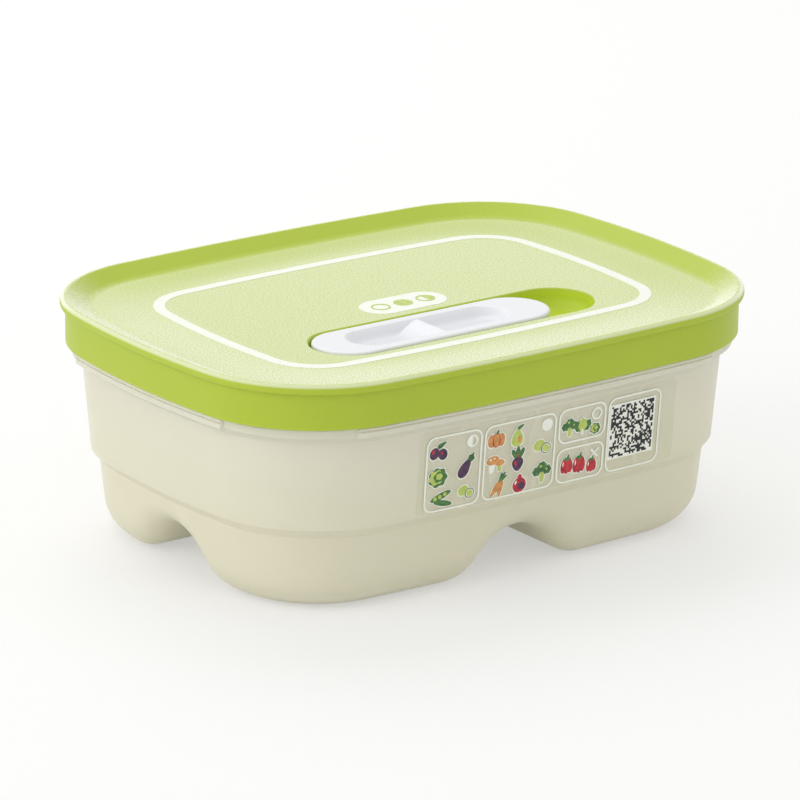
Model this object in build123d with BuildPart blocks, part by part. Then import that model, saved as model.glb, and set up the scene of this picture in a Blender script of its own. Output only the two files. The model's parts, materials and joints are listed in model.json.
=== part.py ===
"""Vented produce keeper: a low translucent box on four rounded feet, under a soft green lid with a sliding vent.

Millimetres, +Z up. The origin is the centre of the footprint, on the surface that the feet stand on.
+X runs along the long side and the printed label is on the front wall, at -Y.
"""

import math
import os

from build123d import *

# Overall sizes, over the lid's rim
lid_length = 198.1
lid_width = 149.6
total_height = 75.0

# Plan outline: two bowed long sides, two bowed short sides and four corner arcs
long_bow_radius = 989.0
short_bow_radius = 303.0
lid_corner_radius = 43.0
box_corner_radius = 46.3

# Container wall, as insets from the plan outline of the rim
wall_thickness = 1.6
mouth_drop = 3.4
mouth_inset = 4.4
wall_draft = 4.86
shoulder_height = 27.5
shoulder_drop = 3.0
shoulder_width = 2.6
lower_draft = 6.0
foot_edge_radius = 12.0

# Crossed arches that part the base into four feet
arch_height = 15.0
arch_half_width = 28.0
arch_crown_radius = 16.0
arch_edge_radius = 9.0

# Container rim and grip flange
rim_bead_inset = 3.5
rim_bead_height = 4.0
flange_top = 60.7
flange_thickness = 3.2
flange_inset = 2.1
flange_corner_inset = 3.3
flange_edge_radius = 0.6
flange_flare = 2.2
flange_long_half = 66.0
flange_short_half = 39.0
flange_lip = 0.8
flange_groove_height = 0.6
flange_groove_depth = 0.6

# Lid
face_drop = 3.5
face_thickness = 1.4
rim_edge_height = 3.2
rim_edge_radius = 1.4
skirt_inset = 1.6
skirt_thickness = 1.3
skirt_depth = 14.0
dish_inset = 2.1
dish_slope = 62.0
dish_blend = 6.0
crest_radius = 0.8
seal_ring_clearance = 0.4
seal_ring_thickness = 1.2
seal_ring_bottom = 55.0

# Vent recess and slider
recess_length = 101.4
recess_width = 25.6
recess_depth = 6.5
recess_floor_thickness = 1.3
recess_wall = 2.3
recess_floor_radius = 4.0
recess_edge_radius = 0.8
recess_centre_x = -1.0
recess_centre_y = -26.9
slider_length = 83.7
slider_side_gap = 1.0
slider_end_gap = 0.9
slider_proud = 0.3
slider_thickness = 4.7
slider_edge_radius = 0.9
thumb_length = 58.0
thumb_width = 16.2
thumb_offset = -1.4
thumb_depth = 2.9
thumb_slope = 48.0
thumb_floor_radius = 5.0
thumb_edge_radius = 0.8
ridge_drop = 0.3
ridge_left_run = 12.0
ridge_right_run = 2.4
ridge_rake = 0.12
groove_depth = 1.2
groove_height = 1.8
groove_rise = 2.4
guide_clearance = 0.3
tongue_length = 46.0
seal_pad_length = 20.0
seal_pad_width = 15.0
seal_pad_corner = 3.0
seal_pad_margin = 6.0
pocket_clearance = 0.05
seal_pocket_depth = 0.8
port_width = 2.4
port_length = 9.0
port_pitch = 4.0
port_count = 3

# Prints on the lid
ink_thickness = 0.12
border_inset = 29.3
border_width = 3.6
pill_length = 30.0
pill_width = 14.2
pill_centre = (-2.5, -3.2)
mark_pitch = 8.4
mark_radius = 3.05
mark_line = 0.6

# Label on the front wall
film_thickness = 0.15
film_left = -43.0
film_right = 53.5
film_bottom = 28.0
film_top = 54.4
film_corner_radius = 2.0
label_left = -40.6
label_bottom = 28.5
label_height = 24.1
panel_widths = (20.0, 26.6, 18.1, 20.8)
panel_gap = 0.9
panel_step = 1.5
panel_corner_radius = 3.0
panel_line = 0.6
sign_radius = 2.0
sign_inset = 3.6
tile_side = 17.8
tile_left_margin = 0.7
tile_top_margin = 2.3
tile_cells = 13
tile_gap = 0.25
picture_size = 5.6

# Derived heights and places
face_height = total_height - face_drop
mouth_height = total_height - mouth_drop
lid_underside = face_height - face_thickness
skirt_bottom = total_height - skirt_depth
rim_underside = total_height - rim_edge_height
slope = math.tan(math.radians(wall_draft))
shoulder_inset = mouth_inset + (mouth_height - shoulder_height) * slope
ledge_height = shoulder_height - shoulder_drop
ledge_inset = shoulder_inset + shoulder_width
arch_foot_radius = (arch_half_width**2 + arch_height**2) / (2 * arch_height) - arch_crown_radius
recess_floor = face_height - recess_depth
recess_underside = recess_floor - recess_floor_thickness
slider_width = recess_width - 2 * slider_side_gap
slider_travel = recess_length - slider_length - 2 * slider_end_gap
slider_centre_x = recess_centre_x - slider_travel / 2
slider_top = face_height + slider_proud
slider_bottom = slider_top - slider_thickness
groove_bottom = recess_floor + groove_rise
pad_centre_x = slider_centre_x - slider_length / 2 + seal_pad_margin + seal_pad_length / 2
seal_ring_inset = mouth_inset + wall_thickness + (mouth_height - lid_underside) * slope + seal_ring_clearance
label_middle = label_bottom + label_height / 2
half_panel_height = (label_height - panel_step) / 2
panel_opening_radius = panel_corner_radius - panel_line


def plan_outline(inset, corner=lid_corner_radius):
    """Closed outline of the keeper seen from above, moved inward by inset; the box has rounder corners."""
    half_x = lid_length / 2 - inset
    half_y = lid_width / 2 - inset
    long_r = long_bow_radius - inset
    short_r = short_bow_radius - inset
    corner_r = corner - inset
    # The corner arc touches both side arcs from inside, so its centre lies on a circle about each of theirs.
    long_centre = half_y - long_r
    short_centre = half_x - short_r
    reach_long = long_r - corner_r
    reach_short = short_r - corner_r
    span = math.hypot(short_centre, long_centre)
    along = (reach_long**2 - reach_short**2 + span**2) / (2 * span)
    across = math.sqrt(reach_long**2 - along**2)
    unit = (short_centre / span, -long_centre / span)
    corner_x = along * unit[0] + across * -unit[1]
    corner_y = long_centre + along * unit[1] + across * unit[0]
    if corner_x < 0 or corner_y < 0:
        corner_x = along * unit[0] - across * -unit[1]
        corner_y = long_centre + along * unit[1] - across * unit[0]
    top_angle = math.atan2(corner_y - long_centre, corner_x)
    side_angle = math.atan2(corner_y, corner_x - short_centre)
    top_x = long_r * math.cos(top_angle)
    top_y = long_centre + long_r * math.sin(top_angle)
    side_x = short_centre + short_r * math.cos(side_angle)
    side_y = short_r * math.sin(side_angle)
    middle = (top_angle + side_angle) / 2
    knee_x = corner_x + corner_r * math.cos(middle)
    knee_y = corner_y + corner_r * math.sin(middle)
    with BuildSketch(mode=Mode.PRIVATE) as outline:
        with BuildLine():
            ThreePointArc((-top_x, top_y), (0, half_y), (top_x, top_y))
            ThreePointArc((top_x, top_y), (knee_x, knee_y), (side_x, side_y))
            ThreePointArc((side_x, side_y), (half_x, 0), (side_x, -side_y))
            ThreePointArc((side_x, -side_y), (knee_x, -knee_y), (top_x, -top_y))
            ThreePointArc((top_x, -top_y), (0, -half_y), (-top_x, -top_y))
            ThreePointArc((-top_x, -top_y), (-knee_x, -knee_y), (-side_x, -side_y))
            ThreePointArc((-side_x, -side_y), (-half_x, 0), (-side_x, side_y))
            ThreePointArc((-side_x, side_y), (-knee_x, knee_y), (-top_x, top_y))
        make_face()
    return outline.sketch


def upper_wall(outset):
    """Solid bounded by the drafted upper wall, moved outward by outset, from the shoulder to the mouth."""
    with BuildPart(mode=Mode.PRIVATE) as form:
        with BuildSketch(Plane.XY.offset(mouth_height)):
            add(plan_outline(mouth_inset - outset, box_corner_radius))
        extrude(amount=shoulder_height - mouth_height, taper=wall_draft)
    return form.part


def container_form(skin):
    """The container's outer form with skin 0, or its hollow with skin as the wall thickness."""
    crown = arch_crown_radius + skin
    foot = arch_foot_radius - skin
    turn = math.atan2(arch_half_width, arch_foot_radius + arch_crown_radius - arch_height)
    side_x = crown * math.sin(turn)
    side_z = arch_height - arch_crown_radius + crown * math.cos(turn)
    foot_x = arch_half_width - foot * math.sin(turn / 2)
    foot_z = arch_foot_radius - foot * math.cos(turn / 2)
    with BuildPart(mode=Mode.PRIVATE) as form:
        # Lower wall and the rounded edge of the feet
        with BuildSketch(Plane.XY.offset(ledge_height)):
            add(plan_outline(ledge_inset + skin, box_corner_radius))
        extrude(amount=skin - ledge_height, taper=lower_draft)
        fillet(form.edges().group_by(Axis.Z)[0], radius=foot_edge_radius - skin)
        # Two crossed arches, each of a crown arc between two foot arcs
        for plane in (Plane.XZ, Plane.YZ):
            with BuildSketch(plane):
                with BuildLine():
                    ThreePointArc((-arch_half_width, skin), (-foot_x, foot_z), (-side_x, side_z))
                    ThreePointArc((-side_x, side_z), (0, arch_height + skin), (side_x, side_z))
                    ThreePointArc((side_x, side_z), (foot_x, foot_z), (arch_half_width, skin))
                    Polyline(
                        (arch_half_width, skin),
                        (arch_half_width, -arch_height),
                        (-arch_half_width, -arch_height),
                        (-arch_half_width, skin),
                    )
                make_face()
            extrude(amount=lid_length, both=True, mode=Mode.SUBTRACT)
        # The arches' mouths and the groins where they cross are rounded
        low_edges = form.edges().filter_by(lambda edge: edge.bounding_box().max.Z < ledge_height - 1)
        curved = low_edges.filter_by(GeomType.BSPLINE) + low_edges.filter_by(GeomType.ELLIPSE)
        fillet(curved, radius=arch_edge_radius - skin)
        # Shoulder, narrowing down to the ledge
        with BuildSketch(Plane.XY.offset(ledge_height)):
            add(plan_outline(ledge_inset + skin, box_corner_radius))
        with BuildSketch(Plane.XY.offset(shoulder_height)):
            add(plan_outline(shoulder_inset + skin, box_corner_radius))
        loft(ruled=True)
        # Upper wall
        with BuildSketch(Plane.XY.offset(mouth_height)):
            add(plan_outline(mouth_inset + skin, box_corner_radius))
        extrude(amount=shoulder_height - mouth_height, taper=wall_draft)
    return form.part


def grip_flange():
    """Ledge round the container under the lid's skirt: wide on the four sides, narrow at the corners."""
    flange_bottom = flange_top - flange_thickness
    flare_inset = mouth_inset + (mouth_height - flange_bottom + flange_flare) * slope
    with BuildPart(mode=Mode.PRIVATE) as flange:
        with BuildSketch(Plane.XY.offset(flange_bottom)):
            add(plan_outline(flange_inset))
            with BuildSketch(mode=Mode.INTERSECT):
                Rectangle(2 * flange_long_half, 2 * lid_width)
                Rectangle(2 * lid_length, 2 * flange_short_half)
            add(plan_outline(flange_corner_inset))
        extrude(amount=flange_thickness)
        outer = flange.edges().group_by(Axis.Z)[0] + flange.edges().group_by(Axis.Z)[-1]
        fillet(outer, radius=flange_edge_radius)
        # Groove that parts the wide stretches into two lips
        with BuildSketch(Plane.XY.offset(flange_top - flange_lip - flange_groove_height)):
            add(plan_outline(0))
            add(plan_outline(flange_inset + flange_groove_depth), mode=Mode.SUBTRACT)
        extrude(amount=flange_groove_height, mode=Mode.SUBTRACT)
        # Flared underside that runs into the wall
        with BuildSketch(Plane.XY.offset(flange_bottom - flange_flare)):
            add(plan_outline(flare_inset, box_corner_radius))
        with BuildSketch(Plane.XY.offset(flange_bottom)):
            add(plan_outline(flange_corner_inset + flange_edge_radius, box_corner_radius))
        loft(ruled=True)
    return flange.part


with BuildPart() as container:
    add(container_form(0))
    with BuildSketch(Plane.XY.offset(mouth_height)):
        add(plan_outline(rim_bead_inset, box_corner_radius))
    extrude(amount=-rim_bead_height)
    add(grip_flange())
    add(container_form(wall_thickness), mode=Mode.SUBTRACT)
container.part.label = "container"


with BuildPart() as lid:
    # Rim with both outer edges rounded, then the skirt block under it
    with BuildSketch(Plane.XY.offset(rim_underside)):
        add(plan_outline(0))
    extrude(amount=rim_edge_height)
    fillet(lid.edges().group_by(Axis.Z)[0] + lid.edges().group_by(Axis.Z)[-1], radius=rim_edge_radius)
    with BuildSketch(Plane.XY.offset(skirt_bottom)):
        add(plan_outline(skirt_inset))
    extrude(amount=rim_underside - skirt_bottom)
    # Dished face inside the raised rim
    with BuildSketch(Plane.XY.offset(total_height)):
        add(plan_outline(dish_inset))
    extrude(amount=-face_drop, taper=dish_slope, mode=Mode.SUBTRACT)
    fillet(lid.edges().filter_by_position(Axis.Z, face_height - 0.01, face_height + 0.01), radius=dish_blend)
    fillet(lid.faces().filter_by(Plane.XY).sort_by(Axis.Z)[-1].inner_wires()[0].edges(), radius=crest_radius)
    # Hollow under the face, and the channel that takes the container's mouth
    with BuildSketch(Plane.XY.offset(skirt_bottom)):
        add(plan_outline(skirt_inset + skirt_thickness))
    extrude(amount=lid_underside - skirt_bottom, mode=Mode.SUBTRACT)
    with BuildSketch(Plane.XY.offset(lid_underside)):
        add(plan_outline(skirt_inset + skirt_thickness))
        add(plan_outline(seal_ring_inset, box_corner_radius), mode=Mode.SUBTRACT)
    extrude(amount=mouth_height - lid_underside, mode=Mode.SUBTRACT)
    # Seal ring that hangs inside the container's mouth, at the same draft as the wall
    with BuildSketch(Plane.XY.offset(lid_underside)):
        add(plan_outline(seal_ring_inset, box_corner_radius))
    extrude(amount=seal_ring_bottom - lid_underside, taper=wall_draft)
    with BuildSketch(Plane.XY.offset(lid_underside)):
        add(plan_outline(seal_ring_inset + seal_ring_thickness, box_corner_radius))
    extrude(amount=seal_ring_bottom - lid_underside, taper=wall_draft, mode=Mode.SUBTRACT)
    # Vent well, hanging under the face, with its bowl-edged recess
    with BuildSketch(Plane.XY.offset(recess_underside)):
        with Locations((recess_centre_x, recess_centre_y)):
            SlotOverall(recess_length + 2 * recess_wall, recess_width + 2 * recess_wall)
    extrude(amount=lid_underside - recess_underside)
    with BuildSketch(Plane.XY.offset(recess_floor)):
        with Locations((recess_centre_x, recess_centre_y)):
            SlotOverall(recess_length, recess_width)
    extrude(amount=recess_depth, mode=Mode.SUBTRACT)
    floor_edges = lid.edges().filter_by_position(Axis.Z, recess_floor - 0.01, recess_floor + 0.01)
    fillet(floor_edges, radius=recess_floor_radius)
    face_floor = lid.faces().filter_by_position(Axis.Z, face_height - 0.01, face_height + 0.01)
    fillet(face_floor[0].inner_wires()[0].edges(), radius=recess_edge_radius)
    # Guide grooves in the two long walls of the recess
    with BuildSketch(Plane.XY.offset(groove_bottom)):
        with Locations((recess_centre_x, recess_centre_y)):
            Rectangle(tongue_length + slider_travel + 2 * guide_clearance, recess_width + 2 * groove_depth)
    extrude(amount=groove_height, mode=Mode.SUBTRACT)
    # Air ports through the floor of the well
    with BuildSketch(Plane.XY.offset(recess_underside)):
        with Locations((pad_centre_x, recess_centre_y)):
            with GridLocations(port_pitch, 1, port_count, 1):
                SlotOverall(port_length, port_width, rotation=90)
    extrude(amount=recess_floor_thickness, mode=Mode.SUBTRACT)
lid.part.label = "lid"


with BuildPart() as vent_slider:
    with BuildSketch(Plane.XY.offset(slider_bottom)):
        with Locations((slider_centre_x, recess_centre_y)):
            SlotOverall(slider_length, slider_width)
    extrude(amount=slider_thickness)
    ends = vent_slider.edges().group_by(Axis.Z)
    fillet(ends[0] + ends[-1], radius=slider_edge_radius)
    # Thumb trough with a cross ridge: a long ramp on the left that drops off at its crest
    with BuildSketch(Plane.XY.offset(slider_top)):
        with Locations((slider_centre_x + thumb_offset, recess_centre_y)):
            SlotOverall(thumb_length, thumb_width)
    extrude(amount=-thumb_depth, taper=thumb_slope, mode=Mode.SUBTRACT)
    trough_floor = slider_top - thumb_depth
    trough_edges = vent_slider.edges().filter_by_position(Axis.Z, trough_floor - 0.01, trough_floor + 0.01)
    fillet(trough_edges, radius=thumb_floor_radius)
    top_face = vent_slider.faces().filter_by(Plane.XY).sort_by(Axis.Z)[-1]
    fillet(top_face.inner_wires()[0].edges(), radius=thumb_edge_radius)
    ridge_top = slider_top - ridge_drop
    with BuildSketch(Plane.XZ.offset(-recess_centre_y)):
        with BuildLine():
            ridge_left = (slider_centre_x - ridge_left_run, trough_floor)
            ridge_right = (slider_centre_x + ridge_right_run, trough_floor)
            crest = (slider_centre_x, ridge_top)
            Spline(ridge_left, crest, tangents=((1, 0), (1, ridge_rake)))
            Spline(crest, ridge_right, tangents=((1, -1), (1, 0)))
            Line(ridge_right, ridge_left)
        make_face()
    extrude(amount=thumb_width / 2, both=True)
    # Tongues that run in the lid's grooves
    with BuildSketch(Plane.XY.offset(groove_bottom + guide_clearance)):
        with Locations((slider_centre_x, recess_centre_y)):
            with GridLocations(1, slider_width, 1, 2):
                Rectangle(tongue_length, 2 * (slider_side_gap + groove_depth - guide_clearance))
    extrude(amount=groove_height - 2 * guide_clearance)
    # Pocket for the seal pad
    with BuildSketch(Plane.XY.offset(slider_bottom)):
        with Locations((pad_centre_x, recess_centre_y)):
            pocket_length = seal_pad_length + 2 * pocket_clearance
            RectangleRounded(pocket_length, seal_pad_width + 2 * pocket_clearance, seal_pad_corner)
    extrude(amount=seal_pocket_depth, mode=Mode.SUBTRACT)
vent_slider.part.label = "vent_slider"


with BuildPart() as vent_seal:
    with BuildSketch(Plane.XY.offset(recess_floor)):
        with Locations((pad_centre_x, recess_centre_y)):
            RectangleRounded(seal_pad_length, seal_pad_width, seal_pad_corner)
    extrude(amount=slider_bottom + seal_pocket_depth - recess_floor)
vent_seal.part.label = "vent_seal"


# Prints on the lid's face
with BuildPart() as lid_border_print:
    with BuildSketch(Plane.XY.offset(face_height)):
        add(plan_outline(border_inset - border_width / 2, box_corner_radius))
        add(plan_outline(border_inset + border_width / 2, box_corner_radius), mode=Mode.SUBTRACT)
    extrude(amount=ink_thickness)
lid_border_print.part.label = "lid_border_print"

with BuildPart() as position_pill_print:
    with BuildSketch(Plane.XY.offset(face_height)):
        with Locations(pill_centre):
            SlotOverall(pill_length, pill_width)
    extrude(amount=ink_thickness)
position_pill_print.part.label = "position_pill_print"

mark_height = face_height + ink_thickness
pill_x, pill_y = pill_centre

with BuildPart() as position_mark_ring:
    with BuildSketch(Plane.XY.offset(mark_height)):
        with Locations((pill_x - mark_pitch, pill_y)):
            Circle(mark_radius)
            Circle(mark_radius - mark_line, mode=Mode.SUBTRACT)
    extrude(amount=ink_thickness)
position_mark_ring.part.label = "position_mark_ring"

with BuildPart() as position_mark_dotted:
    with BuildSketch(Plane.XY.offset(mark_height)):
        with Locations((pill_x, pill_y)):
            Circle(mark_radius)
            with PolarLocations(mark_radius / 2, 4, start_angle=45):
                Circle(mark_line / 2, mode=Mode.SUBTRACT)
    extrude(amount=ink_thickness)
position_mark_dotted.part.label = "position_mark_dotted"

with BuildPart() as position_mark_half:
    with BuildSketch(Plane.XY.offset(mark_height)):
        with Locations((pill_x + mark_pitch, pill_y)):
            Circle(mark_radius)
            Circle(mark_radius - mark_line, mode=Mode.SUBTRACT)
        with Locations((pill_x + mark_pitch + mark_radius / 2, pill_y)):
            Rectangle(mark_radius, 2 * mark_radius)
        with Locations((pill_x + mark_pitch, pill_y)):
            Circle(mark_radius, mode=Mode.INTERSECT)
    extrude(amount=ink_thickness)
position_mark_half.part.label = "position_mark_half"


# Clear label film on the front wall, cut from a shell that follows the drafted and bowed surface
with BuildPart() as label_film:
    add(upper_wall(film_thickness))
    add(upper_wall(0), mode=Mode.SUBTRACT)
    with BuildSketch(Plane.XZ):
        with Locations(((film_left + film_right) / 2, (film_bottom + film_top) / 2)):
            RectangleRounded(film_right - film_left, film_top - film_bottom, film_corner_radius)
    extrude(amount=lid_width, mode=Mode.INTERSECT)
label_film.part.label = "label_film"

# Shells in which the label's first ink and the ink over it lie
with BuildPart(mode=Mode.PRIVATE) as ink_shell:
    add(upper_wall(film_thickness + ink_thickness))
    add(upper_wall(film_thickness), mode=Mode.SUBTRACT)

with BuildPart(mode=Mode.PRIVATE) as over_ink_shell:
    add(upper_wall(film_thickness + 2 * ink_thickness))
    add(upper_wall(film_thickness + ink_thickness), mode=Mode.SUBTRACT)


def panel_places():
    """Centre x, centre z, width and height of each panel: the third column is split in two."""
    places = []
    left = label_left
    for column, width in enumerate(panel_widths):
        middle_x = left + width / 2
        if column == 2:
            step = (half_panel_height + panel_step) / 2
            places.append((middle_x, label_middle + step, width, half_panel_height))
            places.append((middle_x, label_middle - step, width, half_panel_height))
        else:
            places.append((middle_x, label_middle, width, label_height))
        left += width + panel_gap
    return places


label_pieces = []

with BuildSketch(mode=Mode.PRIVATE) as half_disc:
    Circle(sign_radius)
    Rectangle(sign_radius, 2 * sign_radius, align=(Align.MIN, Align.CENTER), mode=Mode.SUBTRACT)

# White frame of each panel, with a sign in the upper right corner of all but the last
panel_signs = ("half", "full", "ring", "cross", None)

for number, (place, sign) in enumerate(zip(panel_places(), panel_signs), start=1):
    middle_x, middle_z, width, height = place
    sign_place = (middle_x + width / 2 - sign_inset, middle_z + height / 2 - sign_inset)
    with BuildPart() as panel_frame:
        add(ink_shell.part)
        with BuildSketch(Plane.XZ):
            with Locations((middle_x, middle_z)):
                RectangleRounded(width, height, panel_corner_radius)
                inner_width = width - 2 * panel_line
                inner_height = height - 2 * panel_line
                RectangleRounded(inner_width, inner_height, panel_opening_radius, mode=Mode.SUBTRACT)
            with Locations(sign_place):
                if sign in ("half", "full", "ring"):
                    Circle(sign_radius)
                if sign in ("half", "ring"):
                    Circle(sign_radius - panel_line, mode=Mode.SUBTRACT)
                if sign == "half":
                    add(half_disc.sketch)
                if sign == "cross":
                    Rectangle(2 * sign_radius, panel_line, rotation=45)
                    Rectangle(2 * sign_radius, panel_line, rotation=-45)
        extrude(amount=lid_width, mode=Mode.INTERSECT)
    panel_frame.part.label = f"label_panel_{number}"
    label_pieces.append(panel_frame)

# Produce pictures made of ovals, in shares of the picture's size: ink, centre, length, width and turn
pictures = {
    "apple": (
        ("red", 0, -0.1, 0.8, 0.72, 0),
        ("green", 0.16, 0.44, 0.34, 0.17, 35),
    ),
    "plum": (
        ("purple", 0, -0.08, 0.84, 0.62, 60),
        ("green", 0.34, 0.46, 0.3, 0.15, 20),
    ),
    "carrot": (
        ("tan", -0.1, -0.12, 0.95, 0.3, 52),
        ("green", 0.3, 0.5, 0.34, 0.13, 80),
        ("green", 0.43, 0.32, 0.34, 0.13, 25),
    ),
    "mushroom": (
        ("tan", 0, 0.14, 0.86, 0.5, 0),
        ("tan", 0, -0.2, 0.56, 0.3, 90),
    ),
    "beet": (
        ("purple", 0, -0.2, 0.6, 0.66, 0),
        ("green", -0.13, 0.38, 0.42, 0.17, 115),
        ("green", 0.13, 0.38, 0.42, 0.17, 65),
    ),
    "pepper": (
        ("red", -0.16, -0.12, 0.78, 0.38, 80),
        ("red", 0.16, -0.12, 0.78, 0.38, 100),
        ("green", 0, 0.44, 0.26, 0.14, 90),
    ),
    "pea_pod": (
        ("green", 0, 0, 1.0, 0.34, 35),
    ),
    "cabbage": (
        ("green", 0, 0.1, 0.66, 0.66, 0),
        ("green", -0.26, -0.14, 0.56, 0.5, 0),
        ("green", 0.26, -0.14, 0.56, 0.5, 0),
    ),
}

# What each panel shows: the picture and its centre, in shares of half the panel's width and height
panel_pictures = (
    (("plum", -0.45, 0.56), ("carrot", 0.4, 0.12), ("cabbage", -0.42, -0.06), ("pea_pod", 0.1, -0.6)),
    (
        ("apple", -0.6, 0.6),
        ("pea_pod", 0, 0.56),
        ("mushroom", -0.6, 0),
        ("beet", 0, -0.02),
        ("plum", 0.6, 0.04),
        ("carrot", -0.6, -0.6),
        ("apple", 0, -0.6),
        ("cabbage", 0.6, -0.58),
    ),
    (("cabbage", -0.5, -0.05), ("pea_pod", 0.14, -0.3)),
    (("pepper", -0.5, 0), ("pepper", 0.12, -0.16)),
    (),
)

for ink in ("green", "red", "purple", "tan"):
    with BuildPart() as produce:
        add(ink_shell.part)
        with BuildSketch(Plane.XZ):
            for (middle_x, middle_z, width, height), contents in zip(panel_places(), panel_pictures):
                for name, across, up in contents:
                    for oval_ink, x, z, length, breadth, turn in pictures[name]:
                        if oval_ink == ink:
                            oval_x = middle_x + across * width / 2 + x * picture_size
                            oval_z = middle_z + up * height / 2 + z * picture_size
                            with Locations((oval_x, oval_z)):
                                Ellipse(length * picture_size / 2, breadth * picture_size / 2, rotation=turn)
        extrude(amount=lid_width, mode=Mode.INTERSECT)
    produce.part.label = f"produce_{ink}"
    label_pieces.append(produce)

# Patterned tile in the last panel: a white square with dark cells printed over it
last_x, last_z, last_width, last_height = panel_places()[-1]
tile_x = last_x - last_width / 2 + tile_left_margin + tile_side / 2
tile_z = last_z + last_height / 2 - tile_top_margin - tile_side / 2
cell_pitch = (tile_side - tile_gap) / tile_cells

with BuildPart() as tile_white:
    add(ink_shell.part)
    with BuildSketch(Plane.XZ):
        with Locations((tile_x, tile_z)):
            Rectangle(tile_side, tile_side)
    extrude(amount=lid_width, mode=Mode.INTERSECT)
tile_white.part.label = "tile_white"

with BuildPart() as tile_black:
    add(over_ink_shell.part)
    with BuildSketch(Plane.XZ):
        for row in range(tile_cells):
            for column in range(tile_cells):
                u = column - (tile_cells - 1) / 2
                v = row - (tile_cells - 1) / 2
                # Dark where two waves that cross the tile agree, which draws petals about its centre
                if math.cos(u * u / 5 + abs(v)) * math.cos(v * v / 5 + abs(u)) > 0.1:
                    with Locations((tile_x + u * cell_pitch, tile_z + v * cell_pitch)):
                        Rectangle(cell_pitch - tile_gap, cell_pitch - tile_gap)
    extrude(amount=lid_width, mode=Mode.INTERSECT)
tile_black.part.label = "tile_black"


os.makedirs("parts", exist_ok=True)
for piece in (
    container,
    lid,
    vent_slider,
    vent_seal,
    lid_border_print,
    position_pill_print,
    position_mark_ring,
    position_mark_dotted,
    position_mark_half,
    label_film,
    *label_pieces,
    tile_white,
    tile_black,
):
    export_step(piece.part, f"parts/{piece.part.label}.step")
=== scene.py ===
# %% [markdown]
# A vented produce keeper, dressed
#
# The solids of the keeper are already measured: a translucent box on four hollow feet, a soft
# green lid with a recess in it, and a white slider that opens and closes the vent. This notebook gives them
# the finishes that the real plastics have, lights them plainly, and puts a camera where the photographer
# stood.
#
# The first cell loads the solids. They stand still: nothing below moves or resizes them.

# %% Load the solids
import json
import math

import bpy
import numpy as np
from mathutils import Matrix, Vector


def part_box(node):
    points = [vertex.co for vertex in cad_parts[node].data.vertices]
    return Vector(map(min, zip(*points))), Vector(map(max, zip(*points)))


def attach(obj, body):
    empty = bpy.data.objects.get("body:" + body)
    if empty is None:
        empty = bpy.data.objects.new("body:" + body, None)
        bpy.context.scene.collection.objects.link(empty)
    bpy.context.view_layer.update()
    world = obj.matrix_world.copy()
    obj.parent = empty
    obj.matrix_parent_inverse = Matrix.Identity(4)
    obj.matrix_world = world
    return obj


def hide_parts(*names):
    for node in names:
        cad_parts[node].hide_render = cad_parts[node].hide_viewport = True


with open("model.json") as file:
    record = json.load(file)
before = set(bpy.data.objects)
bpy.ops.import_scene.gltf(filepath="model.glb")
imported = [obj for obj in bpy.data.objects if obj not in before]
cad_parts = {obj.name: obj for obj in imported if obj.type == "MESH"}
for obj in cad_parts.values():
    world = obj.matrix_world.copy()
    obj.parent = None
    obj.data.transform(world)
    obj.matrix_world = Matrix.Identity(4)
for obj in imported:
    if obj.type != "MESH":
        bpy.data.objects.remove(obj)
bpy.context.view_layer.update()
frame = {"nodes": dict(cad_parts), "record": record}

MM = 0.001

# %% [markdown]
# Shader maths that reads like Python
#
# A finish is a small graph of nodes. Written out node by node it is hard to follow, so one class wraps a
# socket and turns arithmetic on it into Math nodes. `1 - mask` works too, because the reflected operators
# are there.


# %% A socket that does arithmetic
class Wire:
    """The output of a node. Arithmetic on it adds a Math node and gives that node's output."""

    def __init__(self, graph, socket):
        self.graph = graph
        self.socket = socket

    def maths(self, operation, *values):
        return self.graph.node("ShaderNodeMath", {"operation": operation}, dict(enumerate(values)))

    def __add__(self, other):
        return self.maths("ADD", self, other)

    def __rsub__(self, other):
        return self.maths("SUBTRACT", other, self)

    def __mul__(self, other):
        return self.maths("MULTIPLY", self, other)

    def power(self, exponent):
        return self.maths("POWER", self, exponent)

    def between(self, low, high):
        """0 below low, 1 above high and a smooth rise from one to the other."""
        settings = {"interpolation_type": "SMOOTHSTEP"}
        sockets = {"Value": self, "From Min": low, "From Max": high}
        return self.graph.node("ShaderNodeMapRange", settings, sockets)

    def over(self, least, spread):
        """Least where this is 0, and least + spread where this is 1."""
        return least + self * spread

    __radd__ = __add__
    __rmul__ = __mul__


# %% [markdown]
# One method for every other node
#
# Whatever isn't plain arithmetic goes through `Graph.node`, which takes a node's type, its settings, and
# what its sockets hold. A graph can be a material's or the world's, so both use the same method.
#
# Rays come in kinds. A sharp ray carries a picture: it is seen by the camera, mirrored by gloss or let
# through by a clear piece. The rest only carry soft light. The surround and the floor treat the two kinds
# differently.


# %% A graph of nodes
class Graph:
    """A tree of shader nodes under construction."""

    def __init__(self, tree):
        self.tree = tree

    def node(self, kind, settings=None, inputs=None, output=0):
        """Adds a node of a kind, with its settings and its sockets' values or links, and gives an output."""
        made = self.tree.nodes.new(kind)
        for name, value in (settings or {}).items():
            setattr(made, name, value)
        for name, value in (inputs or {}).items():
            if isinstance(value, Wire):
                self.tree.links.new(value.socket, made.inputs[name])
            else:
                made.inputs[name].default_value = value
        return Wire(self, made.outputs[output])

    def sharp_rays(self):
        """1 for rays that are seen, mirrored or let through, and 0 for those that only carry soft light."""
        shown = self.node("ShaderNodeLightPath", output="Is Camera Ray")
        for kind in ("Is Glossy Ray", "Is Transmission Ray"):
            shown = shown.maths("MAXIMUM", shown, self.node("ShaderNodeLightPath", output=kind))
        return shown


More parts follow.
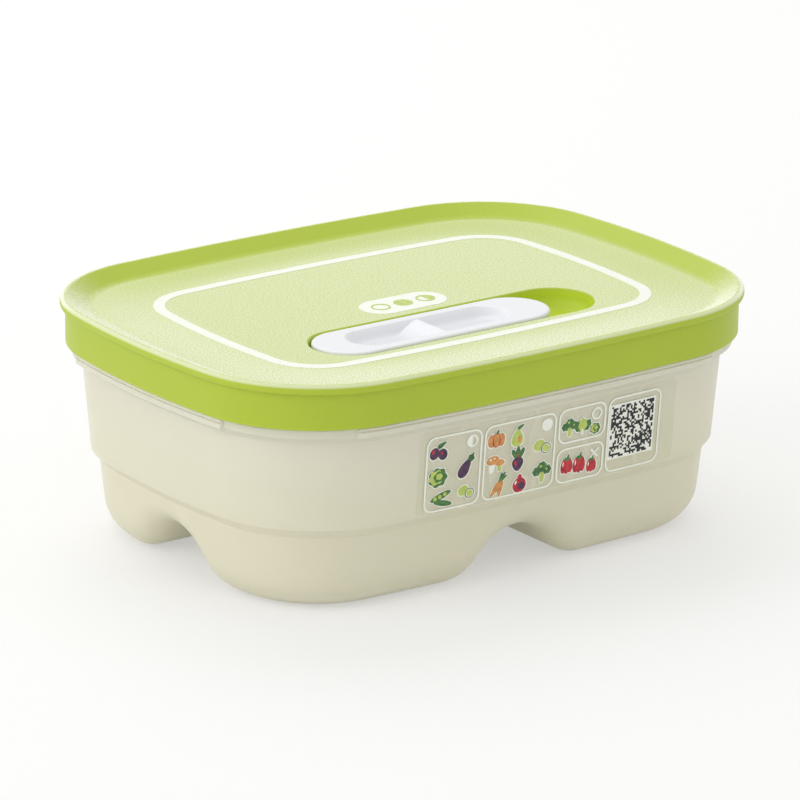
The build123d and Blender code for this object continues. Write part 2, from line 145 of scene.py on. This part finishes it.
# %% [markdown]
# A finish
#
# A finish is a graph that ends in a Principled shader. Its patterns read Object coordinates, which are
# metres in the keeper's frame, so a noise of a given size has that size on every piece. Colours are written
# as they would be seen on a screen, and one function undoes the screen's curve.


# %% A material under construction
class Finish(Graph):
    """A material under construction: its Principled shader, with constants set on that shader's sockets."""

    def __init__(self, name, **constants):
        self.material = bpy.data.materials.new(name)
        self.material.use_nodes = True
        super().__init__(self.material.node_tree)
        self.surface = self.tree.nodes["Principled BSDF"]
        for socket, value in constants.items():
            self.surface.inputs[socket.replace("_", " ")].default_value = value

    def feed(self, **wires):
        """Links wires to the surface's own sockets."""
        for socket, wire in wires.items():
            self.tree.links.new(wire.socket, self.surface.inputs[socket.replace("_", " ")])
        print(self.material.name, "has", len(self.tree.nodes), "nodes so far")

    def place(self):
        """Where a point of the piece is, in metres in the keeper's frame."""
        return self.node("ShaderNodeTexCoord", output="Object")

    def height(self):
        """How far a point is above the floor, in metres."""
        return self.node("ShaderNodeSeparateXYZ", inputs={"Vector": self.place()}, output="Z")

    def vectors(self, operation, first, second, output="Vector"):
        """Vector Math on two vectors."""
        return self.node("ShaderNodeVectorMath", {"operation": operation}, {0: first, 1: second}, output)

    def noise(self, size, detail=2.0, rough=0.5):
        """Smooth random value about 0.5, with blobs of a size in metres."""
        sockets = {"Vector": self.place(), "Scale": 1.0 / size, "Detail": detail, "Roughness": rough}
        return self.node("ShaderNodeTexNoise", inputs=sockets, output="Fac")

    def mix(self, share, first, second):
        """One colour going over to another as share goes from 0 to 1: the Mix node's own colour sockets."""
        return self.node("ShaderNodeMix", {"data_type": "RGBA"}, {0: share, 6: first, 7: second}, output=2)

    def bump(self, height, depth):
        """Surface normal of a relief whose full height is depth metres."""
        return self.node("ShaderNodeBump", inputs={"Height": height, "Distance": depth, "Strength": 1.0})

    def grazing(self, normal):
        """0 where a surface with this normal is seen square on, 1 where the line of sight just skims it."""
        return self.node("ShaderNodeLayerWeight", inputs={"Blend": 0.5, "Normal": normal}, output="Facing")

    def blend_in(self, share, shader):
        """Lets another shader take a share of the surface, with a Mix Shader in front of the output."""
        own = Wire(self, self.surface.outputs["BSDF"])
        mixed = self.node("ShaderNodeMixShader", inputs={0: share, 1: own, 2: shader})
        self.tree.links.new(mixed.socket, self.tree.nodes["Material Output"].inputs["Surface"])


def seen(red, green, blue):
    """Linear colour, with its alpha of 1, of a screen colour given as 0 to 255: the sRGB curve undone."""
    shares = (value / 255 for value in (red, green, blue))
    return (*(s / 12.92 if s <= 0.04045 else ((s + 0.055) / 1.055) ** 2.4 for s in shares), 1.0)


# %% [markdown]
# The milky box
#
# The box is injection-moulded polypropylene, milky rather than clear: light gets in, scatters and comes out
# softened, and what lies behind shows only as a tone. Full volume scattering would be true but slow and
# noisy. Two cheaper things together look the same at this scale: a Translucent share, which lets light from
# inside glow through the wall, and an alpha under 1, so that the far walls and the lid's seal ring show
# through. Light that falls in through the lid tints the upper wall by itself, and the base colour goes from
# a creamier white at the feet to a cleaner one at the mouth.

# %% Milky plastic
FOOT_TOP, NEAR_MOUTH = 18 * MM, 64 * MM
CLOUD_SIZE, SMEAR_SIZE, GRAIN_SIZE, GRAIN_DEPTH = 35 * MM, 4 * MM, 0.6 * MM, 0.02 * MM
CLOUD_SHARE, GLOW_SHARE = 0.3, 0.28
BOX_ALPHA, BOX_ROUGHNESS = (0.76, 0.1), (0.27, 0.1)

box_finish = Finish("milky plastic", IOR=1.49)
up_the_wall = box_finish.height().between(FOOT_TOP, NEAR_MOUTH)
cloud = box_finish.noise(CLOUD_SIZE)
milky = box_finish.mix(up_the_wall, seen(252, 248, 226), seen(252, 250, 236))
milky = box_finish.mix(cloud * CLOUD_SHARE, milky, seen(248, 244, 226))
box_finish.feed(
    Base_Color=milky,
    Alpha=cloud.over(*BOX_ALPHA),
    Roughness=box_finish.noise(SMEAR_SIZE).over(*BOX_ROUGHNESS),
    Normal=box_finish.bump(box_finish.noise(GRAIN_SIZE, detail=3.0), GRAIN_DEPTH),
)
glow = box_finish.node("ShaderNodeBsdfTranslucent", inputs={"Color": seen(255, 254, 246)})
box_finish.blend_in(GLOW_SHARE, glow)

# %% [markdown]
# The green lid
#
# The lid is a softer plastic. Its face has a fine spark-eroded texture, and its rim and skirt are smooth.
# Seen square on, both are the same strong green. At a grazing angle the texture hides its own valleys and
# shows only its lit crests, so the face turns pale. That is sheen, and here it is painted: a Layer Weight
# tells how grazing the view is, the normal tells which part is the face, and their product is the share
# that a pale diffuse shader, the painted sheen, takes.
#
# The real face is also slightly dished, too little to matter to the solid. The painted sheen follows it: it
# grows towards the near rim, where the dish tips away from the eye, and fades out towards the far one. So
# the Layer Weight gets the normal of a shallow bowl, which starts two thirds of the way from the middle to
# the edge. How far out a point lies is the fourth root of (x / half length)^4 + (y / half width)^4, which is
# 1 all along a rounded rectangle. The same value picks out the well, which is painted a lighter green than
# the skirt at the same height: painted light that lifts the shade that falls in it.

# %% Where on the lid a point is
FACE_LEVEL, WELL_EDGE = (70.5 * MM, 71.2 * MM), (0.6, 0.9)

lid_finish = Finish(
    "textured green plastic",
    Subsurface_Weight=0.1,
    Subsurface_Scale=4 * MM,
    Subsurface_Radius=(1.0, 1.0, 0.3),
    Specular_IOR_Level=0.35,
)
lid_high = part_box("lid")[1]
level_place = lid_finish.vectors("MULTIPLY", lid_finish.place(), (1, 1, 0))
outness = lid_finish.vectors("DIVIDE", level_place, (*lid_high[:2], 1))
squares = lid_finish.vectors("MULTIPLY", outness, outness)
edge = lid_finish.vectors("DOT_PRODUCT", squares, squares, "Value").power(0.25)
at_face = lid_finish.height().between(*FACE_LEVEL)
painted_light_in_well = (1 - edge.between(*WELL_EDGE)) * (1 - at_face)

# %% Green with a fine speckle
TONE_SIZE, SPECKLE_SIZE, SPECKLE_DEPTH = 20 * MM, 0.55 * MM, 0.05 * MM
TONE_SHARE, SPECKLE_SHARE, SPECKLE_RANGE = 0.3, 0.2, (0.35, 0.75)
LID_ROUGHNESS = 0.34, 0.16

tone = lid_finish.noise(TONE_SIZE)
speckle = lid_finish.noise(SPECKLE_SIZE, detail=4.0, rough=0.75)
green = lid_finish.mix(tone * TONE_SHARE, seen(177, 196, 54), seen(170, 189, 49))
green = lid_finish.mix(speckle.between(*SPECKLE_RANGE) * SPECKLE_SHARE, green, seen(190, 206, 84))
# Painted light: the well is a lighter green, to lift the shade that falls in it.
green = lid_finish.mix(painted_light_in_well, green, seen(199, 219, 62))
lid_finish.feed(
    Base_Color=green,
    Roughness=speckle.over(*LID_ROUGHNESS),
    Normal=lid_finish.bump(speckle, SPECKLE_DEPTH),
)

# %% [markdown]
# Painted sheen on the face and a painted highlight on the crest
#
# The painted sheen is patchy like the texture that causes it, so the speckle sets its strength. The outer
# half of the rim's crest gets a painted highlight, a pale line. That half is where the normal points away
# from the middle of the lid, which is where its dot product with the place on the lid is above nought.

# %% Painted sheen and crest highlight
BOWL_EDGE, BOWL_DEPTH = (0.66, 0.98), 2.2 * MM
SHEEN_RANGE, FACE_TILT, PATCHES, LEAST_PAINTED_SHEEN = (0.45, 0.95), (0.35, 0.8), (0.36, 0.64), 0.3
CREST_SIDE, CREST_TILT, CREST_HIGHLIGHT_SHARE = (5 * MM, 30 * MM), (0.2, 0.7), 0.5
CREST_LEVEL = 73.5 * MM, 74.3 * MM

normal = lid_finish.node("ShaderNodeTexCoord", output="Normal")
upward = lid_finish.node("ShaderNodeSeparateXYZ", inputs={"Vector": normal}, output="Z")
outward = lid_finish.vectors("DOT_PRODUCT", normal, level_place, "Value")
dished = lid_finish.bump(edge.between(*BOWL_EDGE), BOWL_DEPTH)
# Painted sheen: the pale share grows as the line of sight grazes the face.
sheen = lid_finish.grazing(dished).between(*SHEEN_RANGE) * upward.between(*FACE_TILT) * at_face
at_crest = lid_finish.height().between(*CREST_LEVEL)
# Painted highlight: the outer half of the crest takes a share of the pale colour.
painted_crest_highlight = outward.between(*CREST_SIDE) * upward.between(*CREST_TILT) * at_crest
painted_sheen_and_highlight = sheen * (LEAST_PAINTED_SHEEN + speckle.between(*PATCHES)) + painted_crest_highlight * CREST_HIGHLIGHT_SHARE
# The pale colour of the painted sheen and of the painted crest highlight.
pale = lid_finish.node("ShaderNodeBsdfDiffuse", inputs={"Color": seen(252, 254, 236)})
lid_finish.blend_in(painted_sheen_and_highlight, pale)
print("the powder starts where the view grazes the face by", SHEEN_RANGE[0])

# %% [markdown]
# Slider and seal
#
# The slider is a harder, smoother white plastic with a faint cool cast, with painted shade that makes it
# greyer down in the trough. The seal pad is a matt elastomer that only shows from below. Both are plain,
# so two close tones and a fine relief are enough.

# %% Smooth white plastic and soft seal
TROUGH_FLOOR, SLIDER_TOP = 69.0 * MM, 71.6 * MM
SHADE_SIZE, SHADE_SHARE, SLIDER_ROUGHNESS = 12 * MM, 0.3, (0.24, 0.1)
RIPPLE_SIZE, RIPPLE_DEPTH = 1.2 * MM, 0.01 * MM
DUST_SIZE, DUST_DEPTH = 0.8 * MM, 0.04 * MM

slider_finish = Finish("smooth white plastic")
shade = slider_finish.noise(SHADE_SIZE)
# Painted shade: greyer at the trough floor, full white at the top of the slider.
clear_of_trough_shade = slider_finish.height().between(TROUGH_FLOOR, SLIDER_TOP)
white_and_trough_shade = slider_finish.mix(clear_of_trough_shade, seen(223, 225, 228), seen(236, 237, 240))
slider_finish.feed(
    Base_Color=slider_finish.mix(shade * SHADE_SHARE, white_and_trough_shade, seen(228, 230, 235)),
    Roughness=shade.over(*SLIDER_ROUGHNESS),
    Normal=slider_finish.bump(slider_finish.noise(RIPPLE_SIZE, detail=3.0), RIPPLE_DEPTH),
)

seal_finish = Finish("soft seal", Roughness=0.7)
seal_dust = seal_finish.noise(DUST_SIZE, detail=3.0)
seal_finish.feed(
    Base_Color=seal_finish.mix(seal_dust, seen(214, 216, 214), seen(200, 202, 198)),
    Normal=seal_finish.bump(seal_dust, DUST_DEPTH),
)

# %% [markdown]
# Film and inks
#
# The label is a clear film with inks on it. The film is nearly clear, with a little haze. Each ink is a
# thin, slightly uneven layer, so its tone and gloss wander a little, and one function makes them all.

# %% Film and inks
MOTTLE_SIZE, MOTTLE_RANGE, MOTTLE_DEPTH = 1.6 * MM, (0.3, 0.7), 0.01 * MM
INK_ROUGHNESS, FILM_ROUGHNESS, FILM_ALPHA, HAZE_SIZE = (0.4, 0.1), (0.14, 0.08), (0.04, 0.03), 10 * MM


def ink(name, colour, deeper):
    """A printed ink: two close tones mixed by fine noise, with a gloss that wanders."""
    finish = Finish(name)
    mottle = finish.noise(MOTTLE_SIZE, detail=3.0)
    finish.feed(
        Base_Color=finish.mix(mottle.between(*MOTTLE_RANGE), seen(*colour), seen(*deeper)),
        Roughness=mottle.over(*INK_ROUGHNESS),
        Normal=finish.bump(mottle, MOTTLE_DEPTH),
    )
    return finish


film_finish = Finish("clear film")
haze = film_finish.noise(HAZE_SIZE)
film_finish.feed(
    Base_Color=film_finish.mix(haze, seen(226, 224, 190), seen(218, 216, 180)),
    Alpha=haze.over(*FILM_ALPHA),
    Roughness=haze.over(*FILM_ROUGHNESS),
)

ink_tones = {
    "white_ink": ((247, 249, 240), (241, 245, 230)),
    "pale_green_ink": ((198, 212, 112), (178, 197, 92)),
    "leaf_green_ink": ((84, 134, 66), (50, 96, 52)),
    "red_ink": ((212, 48, 58), (160, 24, 44)),
    "purple_ink": ((88, 48, 84), (48, 38, 62)),
    "tan_ink": ((222, 160, 92), (198, 132, 70)),
    "black_ink": ((12, 12, 14), (22, 21, 23)),
}

# %% [markdown]
# Each solid takes the finish of its slot
#
# The record says which slot every solid belongs to, so the finishes are handed out by slot rather than by a
# second list of names that could drift away from the first.

# %% Hand out the finishes
finishes = {
    "translucent_box": box_finish,
    "green_lid": lid_finish,
    "white_slider": slider_finish,
    "soft_seal": seal_finish,
    "clear_film": film_finish,
}
for slot, tones in ink_tones.items():
    finishes[slot] = ink(slot.replace("_", " "), *tones)
for subpart in frame["record"]["subparts"]:
    mesh = frame["nodes"][subpart["node"]].data
    mesh.materials.clear()
    mesh.materials.append(finishes[subpart["material_slot"]].material)

# %% [markdown]
# The printed wall
#
# The label's pictures and its patterned square are ink, a twentieth of a millimetre thick, on a wall that
# bows outwards and leans in towards its foot. Drawing them flat and shrink-wrapping them would work, but
# the wall is an exact surface, so it is easier to write that surface down once and to send every drawn
# point through it.

# %% The wall as a function
MOUTH_INSET, MOUTH_HEIGHT, WALL_LEAN = 4.4, 71.6, math.radians(4.86)
BOW_RADIUS, LID_WIDTH = 989.0, 149.6


def on_the_wall(x, z, outset):
    """Points on the front wall, for x along it and z up it, outset proud of it; all in millimetres.

    The wall leans in by the tangent of its lean times the depth below the mouth, and every level of it is
    an arc about one centre line, so y is the centre's y minus the height of that arc above x.
    """
    inset = MOUTH_INSET - outset + (MOUTH_HEIGHT - z) * math.tan(WALL_LEAN)
    centre = BOW_RADIUS - LID_WIDTH / 2
    return np.stack([x, centre - np.sqrt((BOW_RADIUS - inset) ** 2 - x**2), z], axis=-1) * MM


# %% [markdown]
# Blobs of ink
#
# Every fruit, leaf and stalk is one kind of shape: a closed curve about a centre. It is an oval that can be
# pinched towards one end, which makes carrots and leaves, and rippled, which makes florets. The same curve,
# pushed outwards, gives the white rim that the printer leaves round each picture. A blob becomes a disc of
# rings, and a Solidify modifier gives it the thickness of ink.

# %% Drawing blobs
CORNERS, RING_COUNT, LOBE_DEPTH = 32, 3, 0.09
TURNS = np.linspace(0, 2 * np.pi, CORNERS, endpoint=False)
RINGS = np.linspace(0, 1, RING_COUNT + 1)[1:, None]


def blob(x, z, length, breadth, turn=0, pinch=0.0, lobes=0, margin=0.0):
    """Closed curve about (x, z): an oval that can be pinched and rippled.

    Its breadth is times (1 - pinch cos a) and its radius times (1 + d cos ka), where a goes once round, d is
    the depth of a lobe and k the number of lobes. With a margin the curve is pushed outwards along the
    direction from its centre, by that many millimetres.
    """
    ripple = 1 + LOBE_DEPTH * np.cos(lobes * TURNS) * (lobes > 0)
    along = (length / 2) * np.cos(TURNS) * ripple
    across = (breadth / 2) * np.sin(TURNS) * (1 - pinch * np.cos(TURNS)) * ripple
    reach = np.hypot(along, across)
    along, across = (part * (1 + margin / reach) for part in (along, across))
    c, s = math.cos(math.radians(turn)), math.sin(math.radians(turn))
    return x + c * along - s * across, z + s * along + c * across


def disc(centre, curve, outset):
    """Vertices and faces of one blob: its centre, then rings that grow from it to the curve."""
    xs = centre[0] + RINGS * (curve[0] - centre[0])
    zs = centre[1] + RINGS * (curve[1] - centre[1])
    points = on_the_wall(np.append(centre[0], xs.ravel()), np.append(centre[1], zs.ravel()), outset)
    steps = np.arange(CORNERS)
    after = np.roll(steps, -1)
    middle = [(0, 1 + a, 1 + b) for a, b in zip(steps, after)]
    inner = np.arange(RING_COUNT - 1)[:, None] * CORNERS + 1
    outer = inner + CORNERS
    quads = np.stack([inner + steps, outer + steps, outer + after, inner + after], axis=-1)
    return points, middle + quads.reshape(-1, 4).tolist()


# %% [markdown]
# One object an ink
#
# Each ink becomes one object of many separate discs, because a printer lays down one ink at a time too. It
# rides on the box, and Solidify gives it its thickness inwards, so that its printed side stays where it was
# drawn.

# %% Printing
INK_THICKNESS = 0.05 * MM


def print_piece(name, parts, slot):
    """One object of many printed parts, each (vertices, faces), with the ink of a slot, on the box."""
    vertices, faces, offset = [], [], 0
    for points, polygons in parts:
        vertices.append(points)
        faces += [[corner + offset for corner in polygon] for polygon in polygons]
        offset += len(points)
    mesh = bpy.data.meshes.new(name)
    mesh.from_pydata(np.concatenate(vertices).tolist(), [], faces)
    mesh.materials.append(finishes[slot].material)
    piece = bpy.data.objects.new(name, mesh)
    bpy.context.scene.collection.objects.link(piece)
    layer = piece.modifiers.new("ink", "SOLIDIFY")
    layer.thickness, layer.offset = INK_THICKNESS, -1
    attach(piece, "keeper")
    print(name, len(faces), "faces")
    return piece


# %% [markdown]
# What is grown on the label
#
# A picture is a short list of blobs, from the back one to the front one: the ink, the place, the length and
# breadth, the turn, the pinch and the lobes. The pictures are plain market vegetables and fruit, a few
# millimetres each.

# %% The pictures
G, P, R, V, T, W = "leaf_green_ink", "pale_green_ink", "red_ink", "purple_ink", "tan_ink", "white_ink"
pictures = {
    "plums": [
        (V, -1.3, -0.3, 3.3, 2.9, 70), (V, 1.3, -0.8, 3.2, 2.8, 110), (G, 0.9, 1.9, 3.0, 1.2, 25, 0.5),
        (R, -1.7, 0.3, 0.7, 1.3, 160), (R, 0.9, -0.3, 0.6, 1.2, 20),
    ],
    "carrots": [
        (T, -0.6, -0.9, 6.0, 1.9, 232, 0.55), (T, 0.9, -1.0, 5.4, 1.7, 262, 0.55),
        (G, 1.0, 2.5, 3.0, 0.8, 72), (G, 2.1, 2.1, 2.6, 0.7, 38), (G, 1.9, 2.9, 2.4, 0.7, 58),
    ],
    "cabbage": [
        (G, 0, 0, 5.6, 5.2, 0, 0, 7), (P, -0.5, 0.1, 4.3, 4.0, 10, 0, 6), (G, 0.3, 0.2, 3.2, 2.9, 30, 0, 5),
        (P, 0.4, 0.3, 2.0, 1.8, 0, 0, 5),
    ],
    "peas": [
        (G, -0.2, 0.9, 6.6, 1.8, 18), (G, 0.6, -1.1, 5.8, 1.6, -12), (P, -1.9, 0.4, 1.1, 1.1),
        (P, -0.4, 0.8, 1.2, 1.2), (P, 1.1, 1.3, 1.1, 1.1),
    ],
    "aubergine": [
        (V, -0.5, -0.6, 5.8, 3.0, 238, -0.35), (G, 1.3, 2.0, 1.9, 2.1, 58, 0, 5), (G, 1.9, 2.9, 1.2, 0.4, 58),
    ],
    "pumpkin": [
        (T, -1.6, -0.3, 2.5, 3.8, 0), (T, 1.6, -0.3, 2.5, 3.8, 0), (R, 0, -0.3, 2.6, 4.1, 0),
        (T, 0, -0.2, 1.9, 4.0, 0), (G, 0.3, 2.1, 1.5, 0.6, 70),
    ],
    "limes": [
        (P, -1.2, 0.4, 3.9, 3.2, 25), (G, 1.3, -0.8, 3.4, 3.2, 0), (W, 1.3, -0.8, 2.9, 2.7, 0),
        (P, 1.3, -0.8, 2.4, 2.2, 0, 0, 8),
    ],
    "mushrooms": [
        (P, 1.3, -1.2, 2.4, 1.2, 95), (T, 1.3, 0.1, 3.2, 1.8, -6), (W, -1.1, -0.8, 3.0, 1.4, 84),
        (T, -1.0, 1.0, 4.0, 2.4, 6), (W, -1.7, 1.3, 0.7, 0.5), (W, -0.4, 1.5, 0.6, 0.4),
    ],
    "beet": [
        (G, -1.3, 2.2, 3.0, 1.3, 118), (G, 1.3, 2.2, 3.0, 1.3, 62), (G, 0, 2.6, 3.2, 1.3, 90),
        (R, 0, 0.9, 2.0, 0.5, 90), (V, 0, -1.0, 4.0, 3.6, 270, 0.3), (R, -0.8, -0.6, 0.8, 1.6, 20),
    ],
    "pear": [
        (P, 0, -0.5, 5.0, 3.7, 90, 0.4), (G, 0.9, 2.6, 2.4, 1.0, 24, 0.4), (T, 0.7, -1.1, 1.2, 2.0, 10),
    ],
    "broccoli": [
        (P, 0.1, -1.5, 3.0, 1.5, 86), (G, -1.7, 0.3, 2.6, 2.5, 0, 0, 6), (G, 1.7, 0.4, 2.6, 2.5, 0, 0, 6),
        (G, 0, 1.4, 3.0, 2.8, 20, 0, 7), (P, -0.4, 1.6, 0.8, 0.7, 0, 0, 5), (P, 1.5, 0.6, 0.7, 0.6, 0, 0, 5),
    ],
    "pepper": [
        (R, -1.1, -0.2, 4.7, 2.2, 84), (R, 1.1, -0.2, 4.7, 2.2, 96), (R, 0, -0.4, 4.8, 2.1, 90),
        (G, 0, 2.0, 2.2, 1.2, 0, 0, 6), (G, 0.4, 2.9, 1.4, 0.5, 70), (W, -1.4, 0.5, 1.5, 0.4, 84),
    ],
    "lettuce": [
        (G, -1.6, 0.3, 3.4, 2.4, 125, 0, 6), (G, 1.6, 0.3, 3.4, 2.4, 55, 0, 6),
        (P, 0, 0.6, 3.8, 2.9, 90, 0, 7), (W, 0, -1.2, 1.6, 0.7, 90),
    ],
    "pomegranate": [
        (R, 0, -0.4, 4.5, 4.3, 0), (R, 0, 2.0, 1.6, 1.3, 90, 0, 5), (V, 0.6, -0.7, 2.5, 2.3, 0, 0, 7),
        (W, -1.3, 0.5, 0.6, 1.2, 160),
    ],
}
print(len(pictures), "pictures of", sum(len(blobs) for blobs in pictures.values()), "blobs")

# %% [markdown]
# Where each picture lies
#
# A picture's place is in millimetres along and up the wall, with its size as the last number. Every blob is
# laid down twice: in white, a little larger, and in its own ink above that. Later blobs of a picture stand
# a fiftieth of a millimetre further out than earlier ones, so that no two inks fight for the same surface.

# %% The layout
layout = [
    ("plums", -36.2, 47.6, 1.15), ("aubergine", -25.8, 41.4, 1.15), ("cabbage", -36.0, 39.4, 1.15),
    ("peas", -34.4, 32.2, 1.15), ("limes", -25.4, 33.2, 0.95),
    ("pumpkin", -15.4, 47.8, 1.1), ("pear", -7.6, 47.4, 1.1), ("mushrooms", -15.2, 40.0, 1.15),
    ("beet", -7.0, 39.4, 1.1), ("limes", 2.0, 42.4, 1.05), ("carrots", -14.0, 32.6, 1.05),
    ("pomegranate", -5.8, 31.8, 1.1), ("broccoli", 2.4, 34.0, 1.15),
    ("broccoli", 12.0, 46.4, 1.0), ("lettuce", 17.0, 45.6, 1.1), ("cabbage", 22.0, 44.2, 0.66),
    ("pepper", 11.8, 34.2, 1.0), ("pepper", 16.6, 33.8, 1.05), ("pepper", 21.4, 32.6, 0.85),
]
WHITE_MARGIN, WHITE_OUTSET, INK_OUTSET, INK_STEP = 0.38, 0.2, 0.24, 0.02

printed = {slot: [] for slot in (G, P, R, V, T, W)}
for name, x, z, size in layout:
    for level, (slot, across, up, length, breadth, *shape) in enumerate(pictures[name]):
        centre = (x + across * size, z + up * size)
        shape = (length * size, breadth * size, *shape)
        printed[W].append(disc(centre, blob(*centre, *shape, margin=WHITE_MARGIN), WHITE_OUTSET))
        printed[slot].append(disc(centre, blob(*centre, *shape), INK_OUTSET + INK_STEP * level))

# %% Print them
named = {
    G: "picture_leaves",
    P: "picture_pale",
    R: "picture_red",
    V: "picture_purple",
    T: "picture_tan",
    W: "picture_rims",
}
stands_for = {G: "produce_green", R: "produce_red", V: "produce_purple", T: "produce_tan"}
for slot, parts in printed.items():
    piece = print_piece(named[slot], parts, slot)
    if slot in stands_for:
        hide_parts(stands_for[slot])

# %% [markdown]
# The patterned square
#
# The last panel holds a white square with small dark cells on it. Which cells are dark is settled by a
# formula that scatters them, so that the square has the right texture and says nothing. It takes the sine
# of a sum of row, column and their product, multiplies it by a large number, and keeps the fraction. A cell
# is dark where that is over a half.

# %% Cells of the square
CELLS, SIDE, SQUARE_X, SQUARE_Z, SQUARE_OUTSET = 27, 16.6, 36.4, 41.4, 0.34
ROW_STEP, COLUMN_STEP, PRODUCT_STEP, MULTIPLE, DARK_ABOVE = 12.9898, 78.233, 0.37, 437.585, 0.5

row, column = np.meshgrid(np.arange(CELLS), np.arange(CELLS), indexing="ij")
wave = np.sin(row * ROW_STEP + column * COLUMN_STEP + row * column * PRODUCT_STEP)
dark = np.argwhere(np.modf(np.abs(wave * MULTIPLE))[0] > DARK_ABOVE)
pitch = SIDE / CELLS
cell_x = SQUARE_X - SIDE / 2 + dark[:, 1:] * pitch + np.array([[0, 1, 1, 0]]) * pitch
cell_z = SQUARE_Z - SIDE / 2 + dark[:, :1] * pitch + np.array([[0, 0, 1, 1]]) * pitch
cell_points = on_the_wall(cell_x.ravel(), cell_z.ravel(), SQUARE_OUTSET)
cell_faces = np.arange(len(dark) * 4).reshape(-1, 4).tolist()
square = print_piece("patterned_square", [(cell_points, cell_faces)], "black_ink")
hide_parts("tile_black")

# %% [markdown]
# Floor
#
# The keeper stands on a plain pale floor. A pale floor in soft light renders light grey, so the rays that
# carry a picture see it mixed with plain white, while the rays that carry light see the floor as it is. The
# shadow stays.

# %% Floor
FLOOR_REACH, FLOOR_WHITE = 6.0, 0.42

floor_mesh = bpy.data.meshes.new("floor")
corners = [(x * FLOOR_REACH, y * FLOOR_REACH, 0) for x, y in ((-1, -1), (1, -1), (1, 1), (-1, 1))]
floor_mesh.from_pydata(corners, [], [(0, 1, 2, 3)])
floor = bpy.data.objects.new("floor", floor_mesh)
bpy.context.scene.collection.objects.link(floor)
floor_finish = Finish("pale floor", Base_Color=(0.96, 0.955, 0.945, 1), Roughness=0.6, Specular_IOR_Level=0.1)
white = floor_finish.node("ShaderNodeEmission", inputs={"Color": (1, 1, 1, 1), "Strength": 1.0})
floor_finish.blend_in(floor_finish.sharp_rays() * FLOOR_WHITE, white)
floor_mesh.materials.append(floor_finish.material)
print("floor of", 2 * FLOOR_REACH, "m a side")

# %% [markdown]
# White surround
#
# The world is white all round, which fills every shadow softly. It lights the keeper less strongly than it
# shows: the rays that carry a picture see white, and the others see a share of it.

# %% White surround
FILL_LIGHT, SHOWN_WHITE = 0.74, 1.0

world = bpy.data.worlds.new("white surround")
world.use_nodes = True
bpy.context.scene.world = world
surround = Graph(world.node_tree)
background = world.node_tree.nodes["Background"]
background.inputs["Color"].default_value = (1, 1, 1, 1)
levels = {"Value": surround.sharp_rays(), "To Min": FILL_LIGHT, "To Max": SHOWN_WHITE}
strength = surround.node("ShaderNodeMapRange", inputs=levels)
world.node_tree.links.new(strength.socket, background.inputs["Strength"])
print("surround lights at", FILL_LIGHT, "and shows at", SHOWN_WHITE)

# %% [markdown]
# Lamps
#
# Two wide square lamps give the light its direction: one above and behind, which brightens the lid, and one
# from the left, which brightens the near left side. They are as wide as they are high up, so their shadows
# have no edges.

# %% Lamps
LAMP_WIDTH, LAMP_AIM = 1.2, Vector((0, 0, 0.04))


def soft_lamp(name, place, watts):
    """A square area lamp that stands at a place and is turned to the keeper's middle."""
    data = bpy.data.lights.new(name, "AREA")
    data.size = LAMP_WIDTH
    data.energy = watts
    lamp = bpy.data.objects.new(name, data)
    bpy.context.scene.collection.objects.link(lamp)
    lamp.location = place
    lamp.rotation_euler = (LAMP_AIM - Vector(place)).to_track_quat("-Z", "Y").to_euler()
    print(name, "lamp of", watts, "W")


soft_lamp("overhead", (0.25, 0.85, 1.3), 6.2)
soft_lamp("left", (-1.4, 0.2, 0.8), 6.5)

# %% [markdown]
# Camera
#
# The camera is a long lens from about 1.7 m away, a little above the lid, which is why the keeper's far and
# near edges are almost parallel. Its axes are worked out from three angles: back points from the keeper to
# the camera, right is level, and up is square to both before the small roll is put on.

# %% Camera
AZIMUTH, ELEVATION, ROLL = (math.radians(angle) for angle in (-36.08, 17.90, -0.43))
STAND = (-0.9365, -1.2838, 0.5523)
SENSOR_WIDTH, FOCAL_LENGTH = 36.0, 244.075

level = math.cos(ELEVATION)
back = np.array([math.sin(AZIMUTH) * level, -math.cos(AZIMUTH) * level, math.sin(ELEVATION)])
right = np.array([math.cos(AZIMUTH), math.sin(AZIMUTH), 0.0])
up = np.cross(back, right)
rolled_right = math.cos(ROLL) * right - math.sin(ROLL) * up
rolled_up = math.sin(ROLL) * right + math.cos(ROLL) * up
lens = bpy.data.cameras.new("camera")
lens.sensor_width = SENSOR_WIDTH
lens.lens = FOCAL_LENGTH
lens.clip_start, lens.clip_end = 0.05, 60.0
camera = bpy.data.objects.new("camera", lens)
bpy.context.scene.collection.objects.link(camera)
axes = Matrix([[*row] for row in np.stack([rolled_right, rolled_up, back], axis=1)])
camera.matrix_world = Matrix.Translation(STAND) @ axes.to_4x4()
bpy.context.scene.camera = camera
bpy.context.scene.view_settings.view_transform = "Standard"
print("camera at", STAND)
